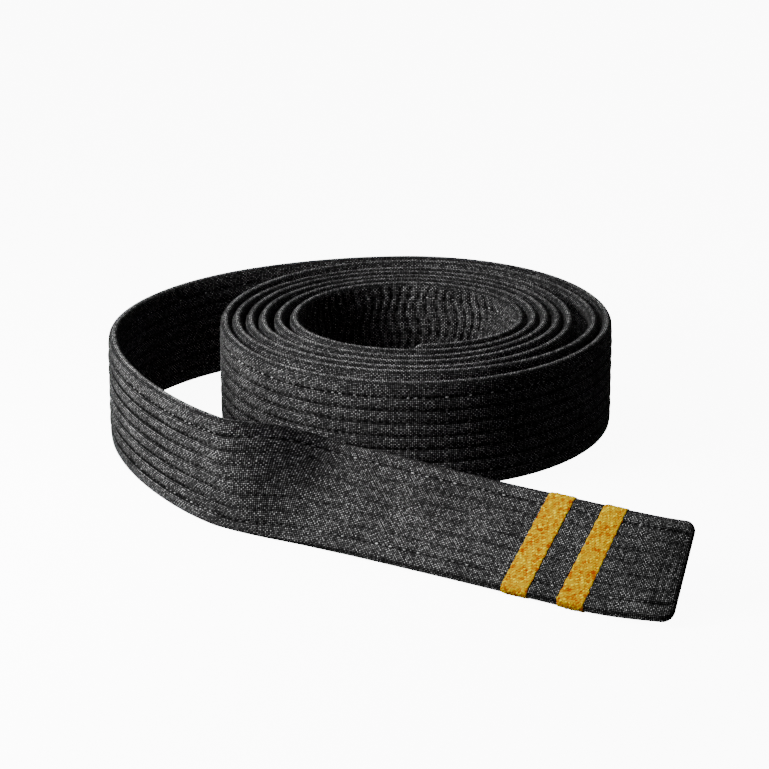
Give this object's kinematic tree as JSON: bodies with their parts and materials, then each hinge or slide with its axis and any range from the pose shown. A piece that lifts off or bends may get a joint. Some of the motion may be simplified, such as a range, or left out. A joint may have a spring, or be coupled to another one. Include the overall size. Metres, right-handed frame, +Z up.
{
  "type": "martial arts belt",
  "caption": "Black cotton martial arts belt stood on edge in a coil, its folded cover over core plies sewn with lengthwise rows, loose end with gold rank stripes.",
  "frame": {"origin": "on the floor under the middle of the whole belt's box", "axes": "+Z up, across the belt's width as it stands on edge; +Y towards the back of the coil, with the loose striped end in front; +X to the right of the viewer in front"},
  "size_m": [0.2032, 0.285, 0.0401],
  "materials": {
    "cover": "matt black plain-weave cotton, faintly flecked, quilted by the stitch rows",
    "core": "black cotton plies, matt",
    "thread": "black polyester thread, slight sheen",
    "stripe": "golden yellow woven tape with a satin sheen"
  },
  "bodies": {
    "coiled_length": {"cover_coil": "cover", "core_ply_1_coil": "core", "core_ply_2_coil": "core", "core_ply_3_coil": "core", "stitch_row_1_coil": "thread", "stitch_row_2_coil": "thread", "stitch_row_3_coil": "thread", "stitch_row_4_coil": "thread", "stitch_row_5_coil": "thread", "stitch_row_6_coil": "thread", "stitch_row_7_coil": "thread", "cross_row_1_inner_end": "thread", "cross_row_2_inner_end": "thread", "cross_row_3_inner_end": "thread"},
    "loose_tail": {"cover_tail": "cover", "core_ply_1_tail": "core", "core_ply_2_tail": "core", "core_ply_3_tail": "core", "stitch_row_1_tail": "thread", "stitch_row_2_tail": "thread", "stitch_row_3_tail": "thread", "stitch_row_4_tail": "thread", "stitch_row_5_tail": "thread", "stitch_row_6_tail": "thread", "stitch_row_7_tail": "thread"},
    "striped_tip": {"cover_tip": "cover", "core_ply_1_tip": "core", "core_ply_2_tip": "core", "core_ply_3_tip": "core", "stitch_row_1_tip": "thread", "stitch_row_2_tip": "thread", "stitch_row_3_tip": "thread", "stitch_row_4_tip": "thread", "stitch_row_5_tip": "thread", "stitch_row_6_tip": "thread", "stitch_row_7_tip": "thread", "cross_row_1_tip": "thread", "cross_row_2_tip": "thread", "cross_row_3_tip": "thread", "rank_stripe_1": "stripe", "rank_stripe_2": "stripe"}
  },
  "joints": [
    {"name": "loop_bend", "type": "hinge", "parent": "coiled_length", "child": "loose_tail", "pos_m": [-0.09945, 0.04711, 0.02], "axis": [0, 0, 1], "range_deg": [-35, 12]},
    {"name": "tip_bend", "type": "hinge", "parent": "loose_tail", "child": "striped_tip", "pos_m": [0.03721, -0.09338, 0.01334], "axis": [-0.4406, -0.6785, -0.5878], "range_deg": [0, 60]}
  ]
}
